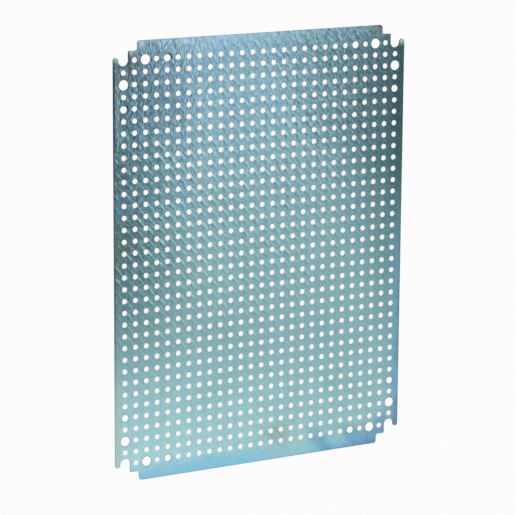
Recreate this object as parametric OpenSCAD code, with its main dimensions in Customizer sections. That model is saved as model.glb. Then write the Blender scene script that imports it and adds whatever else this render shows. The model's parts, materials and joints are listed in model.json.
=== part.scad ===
// Perforated mounting plate: one flat steel sheet, punched all over with a square grid of holes.
// Larger fixing holes take the place of grid holes in the outer rows and columns, near the corners.
// The four corners of the grid are slots, open towards the ends, each between a short side tab and a step.
// The sheet lies flat: X runs across it, Y along it, and the origin is under its middle.

/* [Sheet] */
// Thickness of the sheet
sheet_t = 1.5; // [0.8:0.1:4]
// Distance from the outer columns of holes to the long sides
side_margin = 11.5; // [10:0.5:20]
// Distance from the outer rows of holes to the ends
end_margin = 19.5; // [16:0.5:30]

/* [Hole grid] */
// Distance between neighbouring holes, both ways
pitch = 12.5; // [10:0.5:25]
// Number of holes across the sheet
columns = 27; // [13:1:41]
// Number of holes along the sheet
rows = 35; // [13:1:55]
// Diameter of the grid holes
grid_hole_d = 5.5; // [3:0.1:7]

/* [Fixing holes] */
// Diameter of the large fixing holes
large_hole_d = 10.5; // [8:0.1:12]
// Grid steps from a corner of the grid to its large fixing holes
large_hole_steps = 2; // [2:1:3]
// Diameter of the medium fixing holes
medium_hole_d = 7.5; // [5:0.1:9]
// Grid steps from a corner of the grid to its medium fixing holes
medium_hole_steps = 4; // [4:1:5]

/* [Corner cut-outs] */
// Width of the slot at each corner
slot_w = 11.5; // [8:0.5:13]
// Reach of the side tab beyond the outer row of holes
tab_reach = 3; // [1.5:0.5:8]
// Radius of the side tab's two corners
tab_r = 2.5; // [0.5:0.1:5]
// Width of the step, from the slot to the end edge
step_w = 10.5; // [6:0.5:14]
// Depth of the step, below the end edge
step_depth = 10; // [6:0.5:12]
// Radius of the inner corner of the step
step_fillet_r = 2.5; // [0.5:0.1:5]
// Radius of the outer corner of the step, beside the slot
step_nose_r = 1; // [0.5:0.1:4]
// Radius of the end edge's corners
end_corner_r = 3; // [0.5:0.1:5]

/* [Hidden] */
$fn = 48;
// Middle of the grid to its outer columns and outer rows
half_grid_x = (columns - 1) * pitch / 2;
half_grid_y = (rows - 1) * pitch / 2;
sheet_w = 2 * (half_grid_x + side_margin);
sheet_l = 2 * (half_grid_y + end_margin);
slot_r = slot_w / 2;
// The side tab is the metal left between the slot and the long side
tab_w = side_margin - slot_r;
tab_corner_r = min(tab_r, tab_w / 2);
// The step's floor and its wall, from the middle of the slot
step_y = end_margin - step_depth;
step_x = slot_r + step_w;
step_corner_r = min(step_fillet_r, step_depth / 2, step_w / 2);
nose_r = min(step_nose_r, step_w / 2);
end_r = min(end_corner_r, step_depth / 2);
// How far a cut reaches past the edge that it opens
overshoot = 2;

// Steps from the grid's nearest corner, along the row or column that a hole is in
function steps_in(i, count) = min(i, count - 1 - i);

// Diameter of the hole at a place in the grid, or 0 where a corner slot takes its place
function hole_d_at(across, along) =
    min(across, along) > 0 ? grid_hole_d
    : across + along == 0 ? 0
    : across + along == large_hole_steps ? large_hole_d
    : across + along == medium_hole_steps ? medium_hole_d
    : grid_hole_d;

// What is left of a square corner at the origin when an arc rounds it, towards +X and +Y
module corner_waste(r) {
    difference() {
        square(r);
        translate([r, r]) circle(r);
    }
}

// One corner cut-out, seen from the middle of its slot: +X is towards the long side, +Y towards the end
module corner_cutout() {
    past_side = side_margin + overshoot;
    past_end = end_margin + overshoot;
    circle(slot_r);
    translate([-slot_r, 0]) square([slot_w, past_end]);
    translate([0, tab_reach]) square([past_side, past_end - tab_reach]);
    difference() {
        translate([-step_x, step_y]) square([step_x, past_end - step_y]);
        translate([-step_x, step_y]) corner_waste(step_corner_r);
    }
    translate([slot_r, tab_reach]) mirror([0, 1]) corner_waste(tab_corner_r);
    translate([side_margin, tab_reach]) rotate(180) corner_waste(tab_corner_r);
    translate([-slot_r, step_y]) rotate(180) corner_waste(nose_r);
    translate([-step_x, end_margin]) rotate(180) corner_waste(end_r);
}

// The blank: a rectangle with its four corners cut out
module sheet_outline() {
    difference() {
        square([sheet_w, sheet_l], center = true);
        for (across = [0, 1], along = [0, 1])
            mirror([across, 0]) mirror([0, along])
                translate([half_grid_x, half_grid_y]) corner_cutout();
    }
}

// One row of punched holes, counted from the end at -Y
module hole_row(row) {
    along = steps_in(row, rows);
    for (column = [0 : columns - 1]) {
        d = hole_d_at(steps_in(column, columns), along);
        if (d > 0)
            translate([column * pitch - half_grid_x, row * pitch - half_grid_y]) circle(d / 2);
    }
}

module perforated_plate() {
    color([0.45, 0.62, 0.66])
        linear_extrude(sheet_t)
            difference() {
                sheet_outline();
                for (row = [0 : rows - 1]) hole_row(row);
            }
}

perforated_plate();
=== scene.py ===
"""Perforated mounting plate: the punched sheet, its plating and its studio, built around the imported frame."""

import json
import logging
import math
from collections.abc import Callable
from dataclasses import dataclass, field
from enum import Enum

import bmesh
import bpy
from mathutils import Matrix, Quaternion, Vector


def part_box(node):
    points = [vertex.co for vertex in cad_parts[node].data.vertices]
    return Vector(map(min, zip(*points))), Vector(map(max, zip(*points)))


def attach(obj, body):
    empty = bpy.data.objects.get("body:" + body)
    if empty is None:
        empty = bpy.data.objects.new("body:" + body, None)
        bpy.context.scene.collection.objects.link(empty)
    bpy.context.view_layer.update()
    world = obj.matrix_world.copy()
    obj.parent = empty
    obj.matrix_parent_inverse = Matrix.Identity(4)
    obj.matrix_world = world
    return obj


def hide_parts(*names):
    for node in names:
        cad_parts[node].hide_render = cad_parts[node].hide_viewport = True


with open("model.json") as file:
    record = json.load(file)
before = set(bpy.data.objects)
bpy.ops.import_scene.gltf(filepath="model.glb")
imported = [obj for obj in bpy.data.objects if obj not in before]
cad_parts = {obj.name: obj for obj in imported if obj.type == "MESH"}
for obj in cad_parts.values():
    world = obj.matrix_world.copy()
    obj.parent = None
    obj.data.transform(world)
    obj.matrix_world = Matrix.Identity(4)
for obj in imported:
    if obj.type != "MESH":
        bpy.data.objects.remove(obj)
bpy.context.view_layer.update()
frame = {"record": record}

NODE = "perforated_plate"
BODY = "root"

# The frame is in metres, and the sheet's own sizes are in millimetres
MM = 0.001
# Points closer than this are one point
TOUCH = 0.01 * MM

# Runs of the plating slope down to the right at this angle, in degrees
RUN_SLOPE = 50.0

Triple = tuple[float, float, float]
Span = tuple[float, float]
Socket = bpy.types.NodeSocket

log = logging.getLogger("perforated_plate")


class Pick(Enum):
    """What a selection in edit mode picks."""

    POINTS = "VERT"
    EDGES = "EDGE"
    FACES = "FACE"


class Grain(Enum):
    """Which way a grain runs on the sheet, as an angle from +Y towards +X, in degrees."""

    ALONG_SHEET = 0.0
    ACROSS_CORNER = -38.0


class Paint(Enum):
    """Colours that lie on the plating; frosty also serves for painted highlights, and the last one is bare zinc
    with painted light, for the hole walls.
    """

    FROSTY = (0.600, 0.810, 0.860)
    SKY_BLUE = (0.198, 0.479, 0.644)
    DEEP_BLUE = (0.078, 0.238, 0.434)
    STEEL_BLUE = (0.148, 0.375, 0.522)
    PURPLE_GREY = (0.130, 0.140, 0.265)
    OLIVE = (0.380, 0.470, 0.330)
    STAIN_BROWN = (0.270, 0.290, 0.230)
    LICHEN_GREY = (0.105, 0.140, 0.125)
    INK_BLUE = (0.120, 0.215, 0.350)
    MOSS = (0.120, 0.150, 0.100)
    BRIGHT_ZINC = (0.880, 0.910, 0.920)


class Cast(Enum):
    """Colours that the plating's own colour is multiplied by; the last three darken it as painted shade."""

    BLUE = (0.99, 1.00, 1.16)
    CYAN = (0.94, 1.00, 1.00)
    PETROL = (0.88, 1.00, 0.95)
    COOL = (0.96, 0.99, 1.08)
    GREEN = (0.98, 1.03, 0.94)
    ROSY = (1.07, 0.98, 0.98)
    INKY = (0.90, 0.96, 1.16)
    EARTHY = (1.04, 1.01, 0.85)
    VIOLET = (1.02, 0.95, 1.14)
    LEAFY = (0.98, 1.05, 0.90)
    BRUISE = (0.32, 0.36, 0.42)
    SHADOW = (0.040, 0.080, 0.090)
    CUT_EDGE = (0.10, 0.11, 0.12)


def select_only(piece: bpy.types.Object) -> None:
    """Selects one piece and makes it the active one.

    Args:
        piece: The object.
    """
    bpy.ops.object.select_all(action="DESELECT")
    piece.select_set(True)
    bpy.context.view_layer.objects.active = piece


def add_plane(name: str, size: float, place: Vector) -> bpy.types.Object:
    """Adds a square plane whose place is in its mesh.

    Args:
        name: The plane's name.
        size: Length of its sides.
        place: Its middle.

    Returns:
        The plane.
    """
    bpy.ops.object.select_all(action="DESELECT")
    bpy.ops.mesh.primitive_plane_add(size=size, location=place)
    plane = bpy.context.active_object
    plane.name = name
    bpy.ops.object.transform_apply(location=True, rotation=False, scale=False)
    return plane


def edit(piece: bpy.types.Object, pick: Pick) -> None:
    """Opens one piece in edit mode with nothing in it selected.

    Args:
        piece: The mesh object to work on.
        pick: What later selections will pick.
    """
    select_only(piece)
    bpy.ops.object.mode_set(mode="EDIT")
    bpy.ops.mesh.select_mode(type=pick.value)
    bpy.ops.mesh.select_all(action="DESELECT")


def close_edit() -> None:
    """Leaves edit mode."""
    bpy.ops.object.mode_set(mode="OBJECT")


def choose(piece: bpy.types.Object, pick: Pick, test: Callable[[Vector], bool], rim: bool = False) -> None:
    """Selects, by their place, the points, edges or faces of the piece that is open in edit mode.

    Args:
        piece: The mesh object in edit mode.
        pick: Which of its elements are looked at.
        test: Takes the element's middle and says whether it is selected.
        rim: Whether only edges on the rim of an open sheet are looked at.
    """
    bpy.ops.mesh.select_mode(type=pick.value)
    bpy.ops.mesh.select_all(action="DESELECT")
    shape = bmesh.from_edit_mesh(piece.data)
    for element in {Pick.POINTS: shape.verts, Pick.EDGES: shape.edges, Pick.FACES: shape.faces}[pick]:
        if rim and not element.is_boundary:
            continue
        points = [element] if pick is Pick.POINTS else element.verts
        if test(sum((point.co for point in points), Vector()) / len(points)):
            element.select_set(True)
    shape.select_flush_mode()
    bmesh.update_edit_mesh(piece.data)


def apply_modifier(piece: bpy.types.Object, kind: str, **settings: object) -> None:
    """Adds a modifier to a piece and applies it at once.

    Args:
        piece: The mesh object.
        kind: Blender's name for the modifier.
        settings: The modifier's values.
    """
    select_only(piece)
    modifier = piece.modifiers.new(kind.lower(), kind)
    for name, value in settings.items():
        setattr(modifier, name, value)
    bpy.ops.object.modifier_apply(modifier=modifier.name)


def join(pieces: list[bpy.types.Object]) -> bpy.types.Object:
    """Joins pieces into the first of them, and merges the points that they share.

    Args:
        pieces: Mesh objects, whose places are in their meshes.

    Returns:
        The first piece, which now holds them all.
    """
    bpy.ops.object.select_all(action="DESELECT")
    for piece in pieces:
        piece.select_set(True)
    bpy.context.view_layer.objects.active = pieces[0]
    bpy.ops.object.join()
    edit(pieces[0], Pick.POINTS)
    bpy.ops.mesh.select_all(action="SELECT")
    bpy.ops.mesh.remove_doubles(threshold=TOUCH)
    close_edit()
    return pieces[0]


@dataclass
class HoleLayout:
    """The grid that all holes are punched on, read from the mounts that the frame's record states."""

    half_x: float
    half_y: float
    pitch: float
    grid_r: float
    medium_r: float
    large_r: float
    medium_steps: int
    large_steps: int

    @classmethod
    def from_record(cls, record: dict) -> "HoleLayout":
        """Reads the layout from the mounts.

        Args:
            record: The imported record.

        Returns:
            The layout, in metres.
        """
        mounts = {mount["name"]: mount for mount in record["mounts"]}
        side = mounts["medium_side_holes"]["dims"]
        end = mounts["medium_end_holes"]["dims"]
        outer = mounts["grid_outer_holes"]["dims"]
        large = mounts["large_end_hole_top_right"]
        half_x = side["spacing_x_mm"] / 2 * MM
        half_y = end["spacing_y_mm"] / 2 * MM
        pitch = half_x - outer["spacing_x_mm"] / 2 * MM
        return cls(
            half_x=half_x,
            half_y=half_y,
            pitch=pitch,
            grid_r=outer["hole_r_mm"] * MM,
            medium_r=end["hole_r_mm"] * MM,
            large_r=large["dims"]["r_mm"] * MM,
            medium_steps=round((half_x - end["spacing_x_mm"] / 2 * MM) / pitch),
            large_steps=round((half_x - large["pos_m"][0]) / pitch),
        )

    @property
    def columns(self) -> int:
        """Number of holes across the sheet."""
        return round(2 * self.half_x / self.pitch) + 1

    @property
    def rows(self) -> int:
        """Number of holes along the sheet."""
        return round(2 * self.half_y / self.pitch) + 1

    def fixing_places(self, steps: int) -> list[tuple[float, float]]:
        """Gives the two places of a fixing hole near the corner at +X and +Y, some steps from that corner."""
        inward = steps * self.pitch
        return [(self.half_x - inward, self.half_y), (self.half_x, self.half_y - inward)]

    @property
    def fixings(self) -> list[Triple]:
        """Radius and place of each large and medium hole near the corner at +X and +Y."""
        sizes = ((self.large_r, self.large_steps), (self.medium_r, self.medium_steps))
        return [(radius, x, y) for radius, steps in sizes for x, y in self.fixing_places(steps)]


@dataclass
class HoleTile:
    """One square of the sheet's face with a round hole in its middle."""

    pitch: float
    radius: float
    sides: int = 20
    side_cuts: int = 4

    def build(self, name: str, place: Vector) -> bpy.types.Object:
        """Models the tile as a square loop that is bridged to a round one.

        Args:
            name: The tile's name.
            place: Middle of the hole, on the face.

        Returns:
            The tile, with its place in its mesh.
        """
        tile = add_plane(name, self.pitch, place)
        edit(tile, Pick.EDGES)
        bpy.ops.mesh.select_all(action="SELECT")
        bpy.ops.mesh.delete(type="ONLY_FACE")
        bpy.ops.mesh.select_all(action="SELECT")
        bpy.ops.mesh.subdivide(number_cuts=self.side_cuts)
        bpy.ops.mesh.primitive_circle_add(
            vertices=self.sides,
            radius=self.radius,
            location=place,
            rotation=(0, 0, math.pi / self.sides),
        )
        bpy.ops.mesh.select_all(action="SELECT")
        bpy.ops.mesh.bridge_edge_loops()
        close_edit()
        return tile


@dataclass
class CornerCutout:
    """The sheet's corner at +X and +Y: a slot, open to the end, between a side tab and a step.

    Sizes are measured from the middle of the grid place that the slot takes up.
    """

    side_margin: float
    end_margin: float
    slot_r: float = 5.75 * MM
    tab_reach: float = 3.0 * MM
    tab_r: float = 2.5 * MM
    step_w: float = 10.5 * MM
    step_depth: float = 10.0 * MM
    step_fillet_r: float = 2.5 * MM
    step_nose_r: float = 1.0 * MM
    end_corner_r: float = 3.0 * MM
    tiles_across: int = 2
    arc_step: float = 0.7 * MM
    least_segments: int = 3

    def outline(self, pitch: float) -> list[Triple]:
        """Points of the corner, clockwise, each with the radius that rounds it.

        Args:
            pitch: Distance between neighbouring holes.

        Returns:
            Tuples of x, y and radius, from the inner end of the end margin.
        """
        half = pitch / 2
        inner = -half - self.tiles_across * pitch
        step_x = -self.slot_r - self.step_w
        step_y = self.end_margin - self.step_depth
        return [
            (inner, self.end_margin, 0.0),
            (step_x, self.end_margin, self.end_corner_r),
            (step_x, step_y, self.step_fillet_r),
            (-self.slot_r, step_y, self.step_nose_r),
            (-self.slot_r, -self.slot_r, self.slot_r),
            (self.slot_r, -self.slot_r, self.slot_r),
            (self.slot_r, self.tab_reach, self.tab_r),
            (self.side_margin, self.tab_reach, self.tab_r),
            (self.side_margin, -half, 0.0),
            (half, -half, 0.0),
            (-half, -half, 0.0),
            (-half, half, 0.0),
            (inner, half, 0.0),
        ]

    def build(self, layout: HoleLayout, tile: HoleTile, z: float) -> bpy.types.Object:
        """Traces the corner from a single point, fills it and rounds its corners.

        Args:
            layout: The grid of holes.
            tile: The tile that the corner's inner edges meet.
            z: Height of the face.

        Returns:
            The corner's face, with its place in its mesh.
        """
        points = [
            (Vector((layout.half_x + x, layout.half_y + y, z)), radius)
            for x, y, radius in self.outline(layout.pitch)
        ]
        corner = add_plane("corner_cutout", layout.pitch, points[0][0])
        edit(corner, Pick.POINTS)
        bpy.ops.mesh.select_all(action="SELECT")
        bpy.ops.mesh.merge(type="CENTER")
        for (start, _), (stop, _) in zip(points, points[1:]):
            bpy.ops.mesh.extrude_vertices_move(TRANSFORM_OT_translate={"value": stop - start})
        bpy.ops.mesh.select_all(action="SELECT")
        bpy.ops.mesh.edge_face_add()
        for place, radius in points:
            if radius:
                self.round_point(corner, place, radius)
        self.match_tiles(corner, layout, tile)
        close_edit()
        return corner

    def round_point(self, corner: bpy.types.Object, place: Vector, radius: float) -> None:
        """Rounds one point of the outline with an arc.

        Args:
            corner: The corner's object, in edit mode.
            place: The sharp point.
            radius: Radius of the arc.
        """
        choose(corner, Pick.POINTS, lambda point: (point - place).length < TOUCH)
        bpy.ops.mesh.bevel(
            offset=radius,
            segments=max(self.least_segments, round(math.pi / 2 * radius / self.arc_step)),
            profile=0.5,
            affect="VERTICES",
            clamp_overlap=False,
        )

    def match_tiles(self, corner: bpy.types.Object, layout: HoleLayout, tile: HoleTile) -> None:
        """Divides the corner's inner edges as the tiles beside them are divided.

        Args:
            corner: The corner's object, in edit mode.
            layout: The grid of holes.
            tile: The tile that the edges meet.
        """
        half = layout.pitch / 2
        low_x, low_y = layout.half_x - half, layout.half_y - half
        high_y = layout.half_y + half
        spans = [
            (Vector((low_x - self.tiles_across * half, high_y)), self.tiles_across),
            (Vector((low_x, layout.half_y)), 1),
            (Vector((layout.half_x, low_y)), 1),
        ]
        for middle, tiles in spans:
            choose(corner, Pick.EDGES, lambda place: (place.xy - middle).length < TOUCH)
            bpy.ops.mesh.subdivide(number_cuts=(tile.side_cuts + 1) * tiles - 1)


@dataclass
class PunchedSheet:
    """The whole plate: one sheet with its holes, its corner cut-outs and its edges rolled by the punch."""

    layout: HoleLayout
    low: Vector
    high: Vector
    roll: float = 0.15 * MM
    smooth_angle: float = math.radians(40)
    sharp_angle: float = math.radians(60)
    fixing_sides: int = 40
    tile: HoleTile = field(init=False)
    cutout: CornerCutout = field(init=False)

    def __post_init__(self) -> None:
        """Works out the tile and the margins from the layout and the frame's box."""
        self.tile = HoleTile(self.layout.pitch, self.layout.grid_r)
        self.cutout = CornerCutout(self.high.x - self.layout.half_x, self.high.y - self.layout.half_y)

    def build(self) -> bpy.types.Object:
        """Models the sheet.

        Returns:
            The finished plate, with its place in its mesh.
        """
        face = join([self.grid_face(), self.fixing_corners()])
        face.name = "plate"
        self.add_margins(face)
        self.face_upwards(face)
        apply_modifier(face, "SOLIDIFY", thickness=self.high.z - self.low.z, offset=-1.0)
        self.roll_edges(face)
        bpy.ops.object.shade_smooth_by_angle(angle=self.smooth_angle)
        return face

    def grid_face(self) -> bpy.types.Object:
        """Repeats one tile over the grid and takes out the places of the fixing holes and slots.

        Returns:
            The face of the grid.
        """
        layout = self.layout
        face = self.tile.build("grid_tile", Vector((-layout.half_x, -layout.half_y, self.high.z)))
        for count, step in ((layout.columns, (layout.pitch, 0, 0)), (layout.rows, (0, layout.pitch, 0))):
            apply_modifier(
                face,
                "ARRAY",
                count=count,
                use_relative_offset=False,
                use_constant_offset=True,
                constant_offset_displace=step,
                use_merge_vertices=True,
                merge_threshold=TOUCH,
            )
        taken = [(layout.half_x, layout.half_y)] + [(x, y) for _, x, y in layout.fixings]

        def is_taken(place: Vector) -> bool:
            """Says whether a face lies in a tile that something else takes the place of."""
            reach = layout.pitch / 2
            return any(abs(abs(place.x) - x) < reach and abs(abs(place.y) - y) < reach for x, y in taken)

        edit(face, Pick.FACES)
        choose(face, Pick.FACES, is_taken)
        bpy.ops.mesh.delete(type="FACE")
        close_edit()
        return face

    def fixing_corners(self) -> bpy.types.Object:
        """Models the fixing holes and the cut-out of one corner, and mirrors them to the others.

        Returns:
            The faces at all four corners.
        """
        layout, z = self.layout, self.high.z
        pieces = [self.cutout.build(layout, self.tile, z)]
        for radius, x, y in layout.fixings:
            fixing = HoleTile(layout.pitch, radius, self.fixing_sides)
            pieces.append(fixing.build("fixing_tile", Vector((x, y, z))))
        corners = join(pieces)
        apply_modifier(corners, "MIRROR", use_axis=(True, True, False), use_mirror_merge=False)
        return corners

    def add_margins(self, face: bpy.types.Object) -> None:
        """Extrudes the rims of the grid out to the sheet's sides and ends.

        Args:
            face: The grid's face, with its corners.
        """
        half = self.layout.pitch / 2
        side_reach = self.layout.half_y - half
        end_reach = self.layout.half_x - half - self.cutout.tiles_across * self.layout.pitch
        edges = ((0, self.layout.half_x + half, side_reach), (1, self.layout.half_y + half, end_reach))

        def on_rim(place: Vector) -> bool:
            """Says whether an edge lies on the rim that is extruded now."""
            return abs(way * place[axis] - rim) < TOUCH and abs(place[1 - axis]) < reach

        edit(face, Pick.EDGES)
        for way in (1, -1):
            for axis, rim, reach in edges:
                choose(face, Pick.EDGES, on_rim, rim=True)
                step = Vector()
                step[axis] = way * (self.high[axis] - rim)
                bpy.ops.mesh.extrude_region_move(TRANSFORM_OT_translate={"value": step})
        bpy.ops.mesh.select_all(action="SELECT")
        bpy.ops.mesh.remove_doubles(threshold=TOUCH)
        close_edit()

    def face_upwards(self, face: bpy.types.Object) -> None:
        """Turns every face of the open sheet towards +Z.

        Args:
            face: The open sheet.
        """
        edit(face, Pick.FACES)
        bpy.ops.mesh.select_all(action="SELECT")
        bpy.ops.mesh.normals_make_consistent(inside=False)
        shape = bmesh.from_edit_mesh(face.data)
        shape.faces.ensure_lookup_table()
        if shape.faces[0].normal.z < 0:
            bpy.ops.mesh.flip_normals()
        close_edit()

    def roll_edges(self, plate: bpy.types.Object) -> None:
        """Rolls the upper edges of the holes and of the outline, as the punch leaves them.

        Args:
            plate: The solid sheet.
        """
        middle = (self.low.z + self.high.z) / 2
        edit(plate, Pick.EDGES)
        bpy.ops.mesh.edges_select_sharp(sharpness=self.sharp_angle)
        shape = bmesh.from_edit_mesh(plate.data)
        for edge in shape.edges:
            if edge.select and min(point.co.z for point in edge.verts) < middle:
                edge.select_set(False)
        bmesh.update_edit_mesh(plate.data)
        bpy.ops.mesh.bevel(offset=self.roll, segments=1, affect="EDGES", clamp_overlap=False)
        close_edit()


class Value:
    """A number in a material's nodes, which joins others with + - * and / as plain numbers do."""

    def __init__(self, graph: "Graph", socket: Socket) -> None:
        """Wraps one socket of a graph."""
        self.graph, self.socket = graph, socket

    def __add__(self, other: "Number") -> "Value":
        """Adds a number."""
        return self.graph.math("ADD", self, other)

    def __sub__(self, other: "Number") -> "Value":
        """Takes a number away."""
        return self.graph.math("SUBTRACT", self, other)

    def __rsub__(self, other: float) -> "Value":
        """Is taken away from a number."""
        return self.graph.math("SUBTRACT", other, self)

    def __mul__(self, other: "Number") -> "Value":
        """Multiplies by a number."""
        return self.graph.math("MULTIPLY", self, other)

    def __truediv__(self, other: "Number") -> "Value":
        """Divides by a number."""
        return self.graph.math("DIVIDE", self, other)

    def __abs__(self) -> "Value":
        """Drops the sign."""
        return self.graph.math("ABSOLUTE", self)

    __radd__ = __add__
    __rmul__ = __mul__

    def fade(self, span: Span) -> "Value":
        """Goes smoothly from 0 to 1 as the number goes through a span.

        Args:
            span: Where the result is 0 and where it is 1, which may be the lower of the two.

        Returns:
            The result.
        """
        low, high = (0.0, 1.0) if span[0] < span[1] else (1.0, 0.0)
        inputs = {"Value": self, "From Min": min(span), "From Max": max(span), "To Min": low, "To Max": high}
        node = self.graph.add("ShaderNodeMapRange", inputs, interpolation_type="SMOOTHSTEP", clamp=True)
        return Value(self.graph, node.outputs["Result"])


Number = float | Socket | Value


class Graph:
    """The nodes of a material or world, with one short method for each kind of node that they share."""

    def __init__(self, owner: bpy.types.Material | bpy.types.World) -> None:
        """Takes over the nodes of a material or world, and empties them.

        Args:
            owner: The material or world.
        """
        owner.use_nodes = True
        self.nodes, self.links = owner.node_tree.nodes, owner.node_tree.links
        self.nodes.clear()

    def put(self, socket: Socket, value: Number | Triple) -> None:
        """Links a socket to another one, or sets its value.

        Args:
            socket: The input socket.
            value: An output socket or a value, or else a plain number, vector or colour.
        """
        if isinstance(value, Value):
            value = value.socket
        if isinstance(value, Socket):
            self.links.new(value, socket)
        elif socket.type == "RGBA":
            socket.default_value = (*value, 1.0)
        else:
            socket.default_value = value

    def add(self, kind: str, inputs: dict[str | int, Number | Triple], **settings: object) -> bpy.types.Node:
        """Adds a node and fills its inputs.

        Args:
            kind: Blender's name for the node.
            inputs: What goes into its inputs, by their names or numbers.
            settings: The node's own values.

        Returns:
            The node.
        """
        node = self.nodes.new(kind)
        for name, value in settings.items():
            setattr(node, name, value)
        for name, value in inputs.items():
            self.put(node.inputs[name], value)
        return node

    def math(self, operation: str, first: Number, second: Number = 0.0) -> Value:
        """Joins two numbers by an operation, or works it out for one number."""
        return Value(self, self.add("ShaderNodeMath", {0: first, 1: second}, operation=operation).outputs[0])

    def distance(self, right: Value, up: Value) -> Value:
        """Gives the length of a step on the sheet."""
        return self.math("SQRT", right * right + up * up)

    def place(self, scale: Triple, turn: float = 0.0, shift: Triple = (0.0, 0.0, 0.0)) -> Socket:
        """Gives the place on the object, turned about Z and scaled.

        Args:
            scale: Scale along each axis, after the turn.
            turn: Angle about Z, in degrees.
            shift: Shift of the result, which picks another part of a noise.

        Returns:
            The vector's socket.
        """
        spot = self.nodes.new("ShaderNodeTexCoord").outputs["Object"]
        if turn:
            angles = (0.0, 0.0, math.radians(turn))
            spot = self.add("ShaderNodeMapping", {"Vector": spot, "Rotation": angles}).outputs["Vector"]
        inputs = {"Vector": spot, "Scale": scale, "Location": shift}
        return self.add("ShaderNodeMapping", inputs).outputs["Vector"]

    def seen(self) -> Value:
        """Tells the rays by which the camera sees something from those that only light it.

        Returns:
            1 for rays that see and 0 for rays that light.
        """
        path = self.nodes.new("ShaderNodeLightPath").outputs
        straight = self.math("MAXIMUM", path["Is Camera Ray"], path["Is Glossy Ray"])
        return self.math("MAXIMUM", straight, path["Is Transmission Ray"])

    def end(self, kind: str, shader: Socket) -> None:
        """Ends the nodes with a shader and an output node of this kind."""
        self.links.new(shader, self.nodes.new(kind).inputs["Surface"])


class SheetGraph(Graph):
    """The nodes of the sheet's finish: the place on the sheet, and the colour there so far.

    The place is in millimetres, as x and y, and in shares of half the sheet, as across and along.
    """

    def __init__(self, owner: bpy.types.Material, half_w: float, half_l: float) -> None:
        """Reads the place from the object's own coordinates.

        Args:
            owner: The material.
            half_w: Half the sheet's width, in millimetres.
            half_l: Half the sheet's length, in millimetres.
        """
        super().__init__(owner)
        axes = self.add("ShaderNodeSeparateXYZ", {0: self.place((1 / MM, 1 / MM, 1 / MM))})
        self.x, self.y = Value(self, axes.outputs["X"]), Value(self, axes.outputs["Y"])
        self.across, self.along = self.x / half_w, self.y / half_l
        self.colour: Socket | None = None

    def start(self, tone: Value, stops: tuple[tuple[float, Triple], ...]) -> None:
        """Turns a tone into the first colour of the finish.

        Args:
            tone: The tone, from 0 to 1.
            stops: Tones, in order, and their colours.
        """
        node = self.add("ShaderNodeValToRGB", {"Fac": tone})
        band = node.color_ramp.elements
        while len(band) < len(stops):
            band.new(0.5)
        for element, (place, colour) in zip(band, stops):
            element.position = place
            element.color = (*colour, 1.0)
        self.colour = node.outputs["Color"]

    def lay(self, share: Number, colour: Paint | Cast) -> None:
        """Covers a share of the sheet with a paint, or multiplies a share of its colour by a cast.

        Args:
            share: The share that changes.
            colour: The paint or the cast.
        """
        blend = "MIX" if isinstance(colour, Paint) else "MULTIPLY"
        inputs = {"Factor": share, 6: self.colour, 7: colour.value}
        self.colour = self.add("ShaderNodeMix", inputs, data_type="RGBA", blend_type=blend).outputs[2]


@dataclass(frozen=True)
class Zone:
    """A soft-edged part of the sheet, and how strong something is there.

    The first two numbers of a bound say where it fades in, and two more say where it fades out.
    """

    strength: float
    x: tuple[float, ...] = ()
    y: tuple[float, ...] = ()
    across: tuple[float, ...] = ()
    along: tuple[float, ...] = ()

    def on(self, sheet: SheetGraph) -> Number:
        """Gives the strength at a place, which is 0 outside the zone.

        Args:
            sheet: The sheet's nodes.

        Returns:
            The strength.
        """
        result = self.strength
        for axis in ("x", "y", "across", "along"):
            bound = getattr(self, axis)
            for first in range(0, len(bound), 2):
                result = getattr(sheet, axis).fade(bound[first : first + 2]) * result
        return result


Zones = tuple[Zone, ...]

# Slanting streaks and runs are weaker here, at the upper left, where the rolled grain shows most
QUIET_CORNER = Zone(0.65, across=(0.05, -0.55), along=(0.40, 0.80))


def total(sheet: SheetGraph, zones: Zones) -> Number:
    """Adds up the strengths of zones at a place."""
    return sum(zone.on(sheet) for zone in zones)


def spared(sheet: SheetGraph, zones: Zones) -> Value:
    """Multiplies what each zone leaves of 1 at a place."""
    return math.prod(1.0 - zone.on(sheet) for zone in zones)


@dataclass(frozen=True)
class Noise:
    """A soft noise over the sheet, whose scales are in features to the metre."""

    scale: Triple
    shift: Triple = (0.0, 0.0, 0.0)
    detail: float = 2.0
    roughness: float = 0.5
    turn: float = 0.0

    def read(self, sheet: SheetGraph) -> Value:
        """Gives the noise, about 0.5 on the whole.

        Args:
            sheet: The sheet's nodes.

        Returns:
            The noise.
        """
        place = sheet.place(self.scale, self.turn, self.shift)
        inputs = {"Vector": place, "Scale": 1.0, "Detail": self.detail, "Roughness": self.roughness}
        return Value(sheet, sheet.add("ShaderNodeTexNoise", inputs).outputs["Fac"])

    def swing(self, sheet: SheetGraph) -> Value:
        """Gives the noise, about 0 on the whole."""
        return self.read(sheet) - 0.5


def streaks(run: Grain, width: float, length: float, seed: float) -> Noise:
    """Makes a noise of fine streaks that run one way, with their width and length in millimetres."""
    fine, coarse = 1 / (width * MM), 1 / (length * MM)
    return Noise((fine, coarse, fine), (seed, seed, 0.0), detail=2.0, roughness=0.55, turn=run.value)


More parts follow.
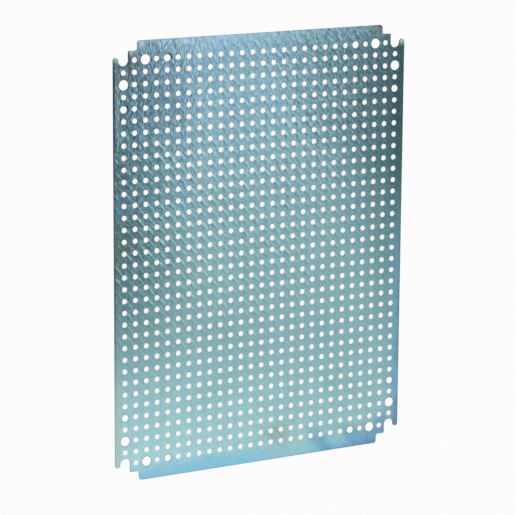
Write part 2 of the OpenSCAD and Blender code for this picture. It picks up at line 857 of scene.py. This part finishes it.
@dataclass(frozen=True)
class PaintedLightAndTone:
    """Painted reflection and shade over the whole sheet: dark at the left and the upper right, pale at the
    foot, with a painted highlight along the upper end and patches of tone that differ at random.
    """

    middle: float = 0.425
    lean: float = 0.60
    shade: Span = (0.44, 1.30)
    shade_depth: float = 0.60
    shade_lift: Zone = Zone(0.21, across=(0.95, 0.55), along=(0.45, 1.0))
    # Painted shade at the left, except low down, and along the upper right edge
    darker: Zones = (
        Zone(0.52, across=(-0.35, -1.0), along=(-0.6, 0.0)),
        Zone(0.36, x=(148.0, 169.0), along=(-0.05, 0.65)),
    )
    rise: float = 0.09
    # Painted reflection: pale at the foot, and in a soft patch high up, just left of the middle
    paler: Zones = (
        Zone(0.34, along=(-0.30, -1.05)),
        Zone(0.08, across=(-0.65, -0.25, 0.35, -0.05), along=(0.20, 0.60, 1.00, 0.80)),
    )
    foot_slant: Zone = Zone(-0.19, along=(-0.30, -1.05))
    # Painted highlight along the upper end, stronger towards its corners
    end: Zones = (Zone(0.15, along=(0.90, 0.965)), Zone(0.19, along=(0.965, 0.99)))
    end_corner_highlight: Zone = Zone(0.28, along=(0.90, 0.965))
    patches: Noise = Noise((18.0, 14.0, 18.0), (3.1, 1.7, 0.0), 3.0, 0.55)
    patch_depth: float = 0.20

    def at(self, sheet: SheetGraph) -> Value:
        """Works out the tone at a place.

        Args:
            sheet: The sheet's nodes.

        Returns:
            The tone, from 0 to about 1.
        """
        across, along = sheet.across, sheet.along
        # Painted shade that grows towards the upper right
        shade = (across + along * self.lean).fade(self.shade) * (self.shade_depth - self.shade_lift.on(sheet))
        drift = self.patches.swing(sheet) * self.patch_depth
        slant = across * self.foot_slant.on(sheet)
        pale = 1.0 + total(sheet, self.paler) + slant + drift + along * self.rise
        # Painted highlight along the upper end
        end = 1.0 + total(sheet, self.end) + across * across * self.end_corner_highlight.on(sheet)
        return self.middle * (1.0 - shade) * spared(sheet, self.darker) * pale * end


@dataclass(frozen=True)
class SheetGrain:
    """The rolled grain and the brushed grain, strongest at the upper corners and faint at the foot."""

    strength: float = 1.9
    rolled: Noise = streaks(Grain.ALONG_SHEET, 0.65, 5.0, 2.0)
    rolled_zones: Zones = (
        Zone(0.25),
        Zone(0.55, along=(0.15, 0.85)),
        Zone(1.0, across=(-0.20, -0.80), along=(0.15, 0.85)),
        Zone(0.35, across=(0.10, 0.50), along=(0.15, 0.85)),
    )
    rolled_edge: Zone = Zone(2.1, across=(0.0, -0.3), along=(0.15, 0.85))
    brushed: Noise = streaks(Grain.ACROSS_CORNER, 0.9, 4.5, 7.0)
    brushed_zones: Zones = (
        Zone(0.20),
        Zone(0.38, along=(-0.45, 0.35)),
        Zone(0.9, across=(-0.40, -0.90), along=(-0.45, 0.10, 0.75, 0.35)),
        Zone(0.75, across=(-0.20, 0.50, 1.15, 0.65), along=(0.10, 0.80)),
    )

    def at(self, sheet: SheetGraph) -> Value:
        """Works out the grain at a place.

        Args:
            sheet: The sheet's nodes.

        Returns:
            The grain, about 0 on the whole.
        """
        edge = sheet.across * sheet.across * self.rolled_edge.on(sheet)
        rolled = self.rolled.swing(sheet) * (total(sheet, self.rolled_zones) + edge)
        brushed = self.brushed.swing(sheet) * total(sheet, self.brushed_zones)
        return (rolled + brushed * spared(sheet, (QUIET_CORNER,))) * self.strength


@dataclass(frozen=True)
class Band:
    """One band of a run, in millimetres beside the hole and below it."""

    aside: float
    edges: Span
    start: Span
    stop: Span
    strength: float

    def at(self, aside: Value, run: Value) -> Value:
        """Gives the band's strength at a place beside the run's own line and down that line."""
        beside = abs(aside - self.aside).fade(self.edges)
        return beside * run.fade(self.start) * run.fade(self.stop) * self.strength


@dataclass(frozen=True)
class Runs:
    """The pale run that the bath left below each hole, with a darker band beside it."""

    layout: HoleLayout
    pale: Band = Band(2.2, (2.3, 0.1), (1.0, 2.6), (15.0, 6.0), 0.32)
    dark: Band = Band(-0.4, (2.5, 0.2), (1.0, 3.0), (15.0, 6.0), 0.28)
    crisp: Band = Band(1.9, (1.1, 0.0), (1.0, 2.6), (17.5, 13.0), 0.62)
    crisp_zone: Zone = Zone(1.0, across=(-0.20, -0.85), along=(0.75, 0.35))
    waver: Noise = Noise((150.0, 150.0, 150.0), (1.0, 5.0, 0.0), 1.0)
    waver_reach: float = 1.6
    patches: Noise = Noise((120.0, 120.0, 120.0), (6.0, 2.0, 0.0), 1.0)
    patch_edges: Span = (0.35, 0.60)
    patch_least: float = 0.55
    patch_more: float = 0.65
    chance_least: float = 0.40
    chance_more: float = 0.75
    upper: Zone = Zone(1.0, along=(-0.75, 0.30))
    weaker: Zones = (
        Zone(0.6, across=(0.50, 0.95)),
        Zone(0.55, across=(0.15, 0.60), along=(0.45, -0.10)),
        QUIET_CORNER,
    )

    def at(self, sheet: SheetGraph) -> Value:
        """Works out the runs at a place.

        Args:
            sheet: The sheet's nodes.

        Returns:
            The runs, above 0 where they are pale and below 0 where they are dark.
        """
        slope, pitch = math.radians(RUN_SLOPE), self.layout.pitch / MM
        column = (sheet.x + (self.layout.half_x / MM + pitch)) / pitch
        row = ((self.layout.half_y / MM + pitch) - sheet.y) / pitch
        right, down = sheet.math("FRACT", column) * pitch, sheet.math("FRACT", row) * pitch
        run = right * math.cos(slope) + down * math.sin(slope)
        waver = self.waver.swing(sheet) * self.waver_reach
        aside = right * math.sin(slope) - down * math.cos(slope) + waver
        light = self.pale.at(aside, run) + self.crisp.at(aside, run) * self.crisp_zone.on(sheet)
        patchy = self.patch_least + self.patches.read(sheet).fade(self.patch_edges) * self.patch_more
        share = self.chance(sheet, column, row) * patchy * self.upper.on(sheet) * spared(sheet, self.weaker)
        return (light - self.dark.at(aside, run)) * share

    def chance(self, sheet: SheetGraph, column: Value, row: Value) -> Value:
        """Gives the strength of a run, which differs from hole to hole.

        Args:
            sheet: The sheet's nodes.
            column: Place across the grid, in holes.
            row: Place along the grid, in holes.

        Returns:
            The strength.
        """
        hole = {"X": sheet.math("FLOOR", column), "Y": sheet.math("FLOOR", row)}
        cell = sheet.add("ShaderNodeCombineXYZ", hole).outputs["Vector"]
        noise = sheet.add("ShaderNodeTexWhiteNoise", {"Vector": cell}, noise_dimensions="2D")
        return self.chance_least + Value(sheet, noise.outputs["Value"]) * self.chance_more


@dataclass(frozen=True)
class Layer:
    """A paint or a cast, and the zones that it lies on."""

    colour: Paint | Cast
    zones: Zones

    def lay(self, sheet: SheetGraph) -> None:
        """Lays itself on the sheet."""
        sheet.lay(total(sheet, self.zones), self.colour)


@dataclass(frozen=True)
class Mottle:
    """A noise that gives the plating one cast where it is high and perhaps another where it is low."""

    noise: Noise
    casts: tuple[tuple[Span, Cast], ...]
    zones: Zones = (Zone(1.0),)

    def lay(self, sheet: SheetGraph) -> None:
        """Lays its casts on the sheet.

        Args:
            sheet: The sheet's nodes.
        """
        level, share = self.noise.read(sheet), total(sheet, self.zones)
        for span, cast in self.casts:
            sheet.lay(level.fade(span) * share, cast)


# Colour casts: blue towards the upper end, cyan and petrol at the sides, and faint ones that wander
CASTS: tuple[Layer | Mottle, ...] = (
    Layer(Cast.BLUE, (Zone(0.6, along=(-0.2, 1.0)), Zone(0.4, across=(0.8, -0.1), along=(-0.2, 1.0)))),
    Layer(
        Cast.CYAN,
        (
            Zone(1.0, across=(0.35, 0.90), along=(0.65, 0.30, -0.70, -0.15)),
            Zone(1.0, across=(-0.35, -0.90), along=(0.65, 0.30, -0.70, -0.15)),
        ),
    ),
    Layer(Cast.PETROL, (Zone(1.0, x=(142.0, 168.0), along=(0.15, 0.50)),)),
    Mottle(
        Noise((30.0, 24.0, 30.0), (8.0, 4.0, 0.0), 3.0, 0.6),
        (((0.52, 0.75), Cast.COOL), ((0.48, 0.28), Cast.GREEN)),
    ),
    Mottle(Noise((70.0, 45.0, 70.0), (2.0, 9.0, 0.0), 3.0, 0.6), (((0.55, 0.75), Cast.ROSY),)),
    Mottle(
        Noise((120.0, 85.0, 120.0), (5.0, 3.0, 0.0), 2.0, 0.6),
        (((0.53, 0.70), Cast.INKY), ((0.47, 0.30), Cast.EARTHY)),
        (Zone(0.25), Zone(0.75, across=(0.10, -0.60), along=(0.10, 0.60))),
    ),
    Mottle(
        streaks(Grain.ALONG_SHEET, 1.4, 4.0, 12.0),
        (((0.52, 0.70), Cast.VIOLET), ((0.48, 0.30), Cast.LEAFY)),
        (Zone(0.25), Zone(0.40, along=(-0.6, 0.3))),
    ),
)


@dataclass(frozen=True)
class EdgeTints:
    """Thicker passivation at the edges, ragged at the foot and the right, and thin lines of painted shade along
    them.
    """

    half_w: float
    half_l: float
    waver: Noise = Noise((38.0, 38.0, 38.0), detail=4.0, roughness=0.65)
    waver_reach: float = 30.0
    foot_reach: Span = (20.0, 5.0)
    foot_zones: Zones = (Zone(0.77), Zone(-0.48, x=(-8.0, 20.0, 80.0, 52.0)))
    right_reach: Span = (20.0, 2.0)
    right_zone: Zone = Zone(0.65, y=(80.0, -85.0))
    corner_reach: Span = (34.0, 12.0)
    corner_lean: float = 0.84
    corner_waver: float = 0.5
    corner_start: Span = (70.0, 84.0)
    corner_share: float = 0.50
    gap_middle: float = 106.0
    gap_edges: Span = (17.0, 8.0)
    gap_depth: float = 0.46
    rim_reach: Span = (4.0, 0.0)
    rim_zone: Zone = Zone(0.35, y=(80.0, -85.0))
    under_reach: Span = (11.0, 1.0)
    under_zone: Zone = Zone(0.42, x=(50.0, 125.0))
    left: tuple[Layer, ...] = (
        Layer(Paint.OLIVE, (Zone(0.48, x=(-165.0, -173.0), y=(-90.0, -190.0)),)),
        Layer(Paint.FROSTY, (Zone(0.15, x=(-172.0, -170.2, -166.8, -168.6), along=(0.52, 0.66)),)),
        # Painted shade: dark lines along the left edge, and beside the right wall of the upper left slot
        Layer(
            Cast.CUT_EDGE,
            (
                Zone(0.20, x=(-171.4, -172.6), along=(-0.75, -0.35)),
                Zone(0.42, x=(-171.4, -172.6), along=(0.48, 0.62)),
            ),
        ),
        Layer(Cast.CUT_EDGE, (Zone(0.72, x=(-158.0, -157.0, -154.6, -155.6), y=(206.5, 209.0)),)),
    )
    line_reach: Span = (2.2, 0.6)
    line_zone: Zone = Zone(0.20, along=(0.3, -0.2))

    def lay(self, sheet: SheetGraph) -> None:
        """Lays the tints on the sheet.

        Args:
            sheet: The sheet's nodes.
        """
        waver = self.waver.swing(sheet) * self.waver_reach
        right, foot = self.half_w - sheet.x + waver, self.half_l + sheet.y + waver
        sheet.lay(foot.fade(self.foot_reach) * total(sheet, self.foot_zones), Paint.SKY_BLUE)
        sheet.lay(right.fade(self.right_reach) * self.right_zone.on(sheet), Paint.STEEL_BLUE)
        slant = sheet.x + foot * self.corner_lean + waver * self.corner_waver
        gap = abs(slant - self.gap_middle).fade(self.gap_edges) * self.gap_depth
        corner = foot.fade(self.corner_reach) * slant.fade(self.corner_start)
        sheet.lay(corner * (self.corner_share - gap), Paint.DEEP_BLUE)
        sheet.lay(right.fade(self.rim_reach) * self.rim_zone.on(sheet), Paint.PURPLE_GREY)
        sheet.lay(foot.fade(self.under_reach) * self.under_zone.on(sheet), Paint.PURPLE_GREY)
        for layer in self.left:
            layer.lay(sheet)
        # Painted shade in a thin line along the lower right edge and the foot
        nearest = sheet.math("MINIMUM", self.half_w - sheet.x, self.half_l + sheet.y)
        sheet.lay(nearest.fade(self.line_reach) * self.line_zone.on(sheet), Cast.CUT_EDGE)


@dataclass(frozen=True)
class Mark:
    """A soft spot of another colour, in millimetres, which may be long along the runs; most are stains that the
    bath left, and the frosty ones are painted highlights.
    """

    x: float
    y: float
    radius: float
    strength: float
    paint: Paint
    stretch: float = 1.0


@dataclass(frozen=True)
class StainsAndHighlights:
    """The stains, and the painted highlights at the corners of the upper end, all with ragged edges."""

    clouds: Noise = Noise((90.0, 90.0, 90.0))
    cloud_reach: float = 10.0
    drag: Noise = streaks(Grain.ACROSS_CORNER, 2.2, 12.0, 21.0)
    drag_reach: float = 14.0
    marks: tuple[Mark, ...] = (
        Mark(24.0, -206.0, 26.0, 0.26, Paint.STAIN_BROWN),
        Mark(23.0, -205.0, 6.5, 0.55, Paint.STAIN_BROWN, 2.4),
        Mark(10.0, -205.0, 5.5, 0.45, Paint.STAIN_BROWN, 2.0),
        Mark(42.0, -212.0, 15.0, 0.35, Paint.OLIVE),
        Mark(20.0, 62.0, 12.0, 0.15, Paint.STAIN_BROWN),
        Mark(118.0, -165.0, 14.0, 0.20, Paint.STAIN_BROWN),
        Mark(-160.0, 206.0, 40.0, 0.48, Paint.LICHEN_GREY),
        Mark(-118.0, 172.0, 46.0, 0.40, Paint.INK_BLUE),
        Mark(-160.0, 64.0, 24.0, 0.40, Paint.INK_BLUE),
        Mark(-166.0, 92.0, 18.0, 0.30, Paint.LICHEN_GREY),
        Mark(-170.0, 22.0, 34.0, 0.50, Paint.MOSS),
        # Painted highlights on the rounded corners and tabs of the upper end
        Mark(-144.0, 230.0, 8.0, 0.55, Paint.FROSTY),
        Mark(-152.0, 222.0, 7.0, 0.40, Paint.FROSTY),
        Mark(-171.0, 215.0, 7.0, 0.50, Paint.FROSTY),
        Mark(171.0, 215.0, 7.0, 0.80, Paint.FROSTY),
        Mark(146.0, 231.0, 13.0, 0.65, Paint.LICHEN_GREY),
        Mark(150.0, -228.0, 26.0, 0.22, Paint.PURPLE_GREY),
        Mark(173.0, -192.0, 21.0, 0.40, Paint.PURPLE_GREY),
        Mark(172.0, -165.0, 26.0, 0.30, Paint.DEEP_BLUE),
        Mark(152.0, -204.0, 12.0, 0.40, Paint.DEEP_BLUE),
        Mark(-26.0, -224.0, 36.0, 0.30, Paint.SKY_BLUE),
        Mark(171.0, -214.0, 16.0, 0.40, Paint.PURPLE_GREY),
    )

    def lay(self, sheet: SheetGraph) -> None:
        """Lays the marks on the sheet.

        Args:
            sheet: The sheet's nodes.
        """
        slope = math.radians(RUN_SLOPE)
        ragged = self.clouds.swing(sheet) * self.cloud_reach + self.drag.swing(sheet) * self.drag_reach
        for mark in self.marks:
            right, up = sheet.x - mark.x, sheet.y - mark.y
            run = (right * math.cos(slope) - up * math.sin(slope)) / mark.stretch
            aside = right * math.sin(slope) + up * math.cos(slope)
            near = (sheet.distance(run, aside) + ragged).fade((mark.radius, 0.0))
            sheet.lay(near * mark.strength, mark.paint)


@dataclass(frozen=True)
class PaintedHoleAndEdgeShading:
    """Painted shade in dark rings round the larger holes and in crescents by two of them, painted light on the
    bright hole walls, and painted shade on the dark outline walls.
    """

    layout: HoleLayout
    ring_reach: Span = (1.3, 0.2)
    ring_share: float = 0.80
    crescent_reach: Span = (0.6, 0.0)
    crescent_right: float = 1.1
    crescent_up: float = 0.8
    crescent_zone: Zone = Zone(1.0, x=(0.0, -1.0), y=(0.0, 1.0))
    steep: Span = (0.9, 0.6)
    margin_start: Span = (5.5, 6.5)
    slot_start: Span = (-7.5, -6.5)
    outline_zones: Zones = (Zone(0.30), Zone(0.70, along=(-0.30, 0.40)))

    def lay(self, sheet: SheetGraph) -> None:
        """Lays all of them on the sheet."""
        self.shade_fixings(sheet)
        self.cut(sheet)

    def shade_fixings(self, sheet: SheetGraph) -> None:
        """Lays rings of painted shade round the larger holes, and crescents of painted shade at the two medium
        ones at the upper left.

        Args:
            sheet: The sheet's nodes.
        """
        layout, off_x, off_y = self.layout, abs(sheet.x), abs(sheet.y)
        # Painted shade in a ring round each larger hole
        for radius, x, y in layout.fixings:
            past = sheet.distance(off_x - x / MM, off_y - y / MM) - radius / MM
            sheet.lay(past.fade(self.ring_reach) * self.ring_share, Cast.BRUISE)
        # Painted shade in crescents beside the two medium holes at the upper left
        for x, y in layout.fixing_places(layout.medium_steps):
            right, up = sheet.x + (x / MM - self.crescent_right), sheet.y - (y / MM + self.crescent_up)
            past = sheet.distance(right, up) - layout.medium_r / MM
            sheet.lay(past.fade(self.crescent_reach) * self.crescent_zone.on(sheet), Cast.SHADOW)

    def cut(self, sheet: SheetGraph) -> None:
        """Lays bright bare zinc with painted light on the walls of the holes, and darkens the cut edge all
        round the outline with painted shade.

        Args:
            sheet: The sheet's nodes.
        """
        normal = sheet.nodes.new("ShaderNodeNewGeometry").outputs["True Normal"]
        facing = sheet.add("ShaderNodeSeparateXYZ", {0: normal})
        steep = abs(Value(sheet, facing.outputs["Z"])).fade(self.steep)
        past_x, past_y = abs(sheet.x) - self.layout.half_x / MM, abs(sheet.y) - self.layout.half_y / MM
        slot = past_x.fade(self.slot_start) * past_y.fade(self.slot_start)
        margin = sheet.math("MAXIMUM", past_x.fade(self.margin_start), past_y.fade(self.margin_start))
        outline = sheet.math("MAXIMUM", slot, margin)
        # Bare zinc with painted light on the hole walls, and painted shade on the outline walls, darker towards
        # the upper end
        sheet.lay(steep * (1.0 - outline), Paint.BRIGHT_ZINC)
        sheet.lay(steep * outline * total(sheet, self.outline_zones), Cast.CUT_EDGE)


@dataclass(frozen=True)
class Plating:
    """Satin zinc plating with a blue-green passivation and painted reflection, highlights and shade, for a
    sheet whose half sizes are in millimetres.
    """

    layout: HoleLayout
    half_w: float
    half_l: float
    # Slate, deep teal, aqua, pale aqua and frosty
    tones: tuple[tuple[float, Triple], ...] = (
        (0.06, (0.040, 0.080, 0.090)),
        (0.19, (0.090, 0.176, 0.193)),
        (0.42, (0.240, 0.418, 0.444)),
        (0.62, (0.375, 0.620, 0.645)),
        (0.90, (0.600, 0.810, 0.860)),
    )
    roughness: float = 0.40
    sheen: float = -0.08
    relief: float = 0.25
    relief_depth: float = 0.05 * MM

    def material(self) -> bpy.types.Material:
        """Builds the plating.

        Returns:
            The material.
        """
        material = bpy.data.materials.new("zinc_plating")
        sheet = SheetGraph(material, self.half_w, self.half_l)
        grain = SheetGrain().at(sheet)
        contrast = sheet.math("POWER", math.e, grain + Runs(self.layout).at(sheet))
        # The painted reflection and shade, with the grain and the runs, picks the colour from the tones
        sheet.start(PaintedLightAndTone().at(sheet) * contrast, self.tones)
        for layer in (*CASTS, EdgeTints(self.half_w, self.half_l), StainsAndHighlights(), PaintedHoleAndEdgeShading(self.layout)):
            layer.lay(sheet)
        inputs = {"Strength": self.relief, "Distance": self.relief_depth, "Height": grain}
        bump = sheet.add("ShaderNodeBump", inputs)
        shader = sheet.nodes.new("ShaderNodeBsdfPrincipled")
        shader.inputs["Metallic"].default_value = 1.0
        sheet.put(shader.inputs["Base Color"], sheet.colour)
        sheet.put(shader.inputs["Roughness"], self.roughness + grain * self.sheen)
        sheet.put(shader.inputs["Normal"], bump.outputs["Normal"])
        sheet.end("ShaderNodeOutputMaterial", shader.outputs["BSDF"])
        return material


@dataclass(frozen=True)
class FloorPaint:
    """Matt white floor that the camera sees as white, with a faint shadow on it."""

    white: Triple = (0.96, 0.96, 0.96)
    glow_share: float = 0.93

    def material(self) -> bpy.types.Material:
        """Builds the floor's paint.

        Returns:
            The material.
        """
        material = bpy.data.materials.new("floor_white")
        graph = Graph(material)
        matt = graph.nodes.new("ShaderNodeBsdfDiffuse")
        graph.put(matt.inputs["Color"], self.white)
        glow = graph.nodes.new("ShaderNodeEmission")
        glow.inputs["Strength"].default_value = 1.0
        inputs = {0: graph.seen() * self.glow_share, 1: matt.outputs[0], 2: glow.outputs[0]}
        mixer = graph.add("ShaderNodeMixShader", inputs)
        graph.end("ShaderNodeOutputMaterial", mixer.outputs[0])
        return material


@dataclass
class Studio:
    """The floor, the world and the lamp."""

    floor_size: float = 8.0
    floor_gap: float = 0.2 * MM
    surround: float = 0.8
    lamp_place: Vector = field(default_factory=lambda: Vector((0.75, -0.85, 1.35)))
    lamp_size: float = 1.1
    lamp_power: float = 2.0

    def build(self) -> bpy.types.Object:
        """Makes the floor, and lights the scene.

        Returns:
            The floor.
        """
        floor = add_plane("floor", self.floor_size, Vector((0, 0, -self.floor_gap)))
        floor.data.materials.append(FloorPaint().material())
        self.light_world()
        self.hang_lamp()
        return floor

    def light_world(self) -> None:
        """Makes the surroundings white to the eye, and a little weaker as light."""
        world = bpy.data.worlds.new("white_studio")
        bpy.context.scene.world = world
        graph = Graph(world)
        light = graph.nodes.new("ShaderNodeBackground")
        graph.put(light.inputs["Strength"], self.surround + graph.seen() * (1.0 - self.surround))
        graph.end("ShaderNodeOutputWorld", light.outputs["Background"])

    def hang_lamp(self) -> None:
        """Hangs one soft square lamp that looks at the middle of the plate."""
        bpy.ops.object.light_add(type="AREA", location=self.lamp_place)
        lamp = bpy.context.active_object
        lamp.name = "soft_lamp"
        lamp.data.size = self.lamp_size
        lamp.data.energy = self.lamp_power
        lamp.rotation_mode = "QUATERNION"
        lamp.rotation_quaternion = (-self.lamp_place).to_track_quat("-Z", "Y")


@dataclass(frozen=True)
class PhotoCamera:
    """The camera at the photograph's viewing angle, in metres."""

    eye: Triple = (-1.2796, 0.5610, 2.2584)
    target: Triple = (-0.0055, -0.0068, 0.0015)
    roll_deg: float = 0.374
    lens_mm: float = 175.19
    sensor_mm: float = 36.0

    def build(self) -> bpy.types.Object:
        """Places the camera, with the sheet's length upright in its picture.

        Returns:
            The camera.
        """
        back = (Vector(self.eye) - Vector(self.target)).normalized()
        right = Vector((0, 1, 0)).cross(back).normalized()
        up = back.cross(right)
        turn = Matrix((right, up, back)).transposed().to_quaternion()
        bpy.ops.object.camera_add(location=self.eye)
        camera = bpy.context.active_object
        camera.name = "photo_camera"
        camera.rotation_mode = "QUATERNION"
        camera.rotation_quaternion = turn @ Quaternion((0, 0, 1), math.radians(self.roll_deg))
        camera.data.lens = self.lens_mm
        camera.data.sensor_width = self.sensor_mm
        camera.data.dof.use_dof = False
        bpy.context.scene.camera = camera
        return camera


def build_plate() -> bpy.types.Object:
    """Models the plate, dresses it and puts it on the frame.

    Returns:
        The finished plate.
    """
    low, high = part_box(NODE)
    layout = HoleLayout.from_record(frame["record"])
    plate = PunchedSheet(layout, low, high).build()
    plate.data.materials.clear()
    plate.data.materials.append(Plating(layout, high.x / MM, high.y / MM).material())
    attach(plate, BODY)
    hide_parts(NODE)
    return plate


def main() -> None:
    """Builds the camera, the studio and the plate, in that order."""
    logging.basicConfig(level=logging.INFO, format="%(name)s: %(message)s")
    bpy.context.scene.view_settings.view_transform = "Standard"
    camera = PhotoCamera().build()
    log.info("camera %s with a %.1f mm lens", camera.name, camera.data.lens)
    floor = Studio().build()
    log.info("stage %s", floor.name)
    plate = build_plate()
    log.info("piece %s with %d faces", plate.name, len(plate.data.polygons))


if __name__ == "__main__":
    main()
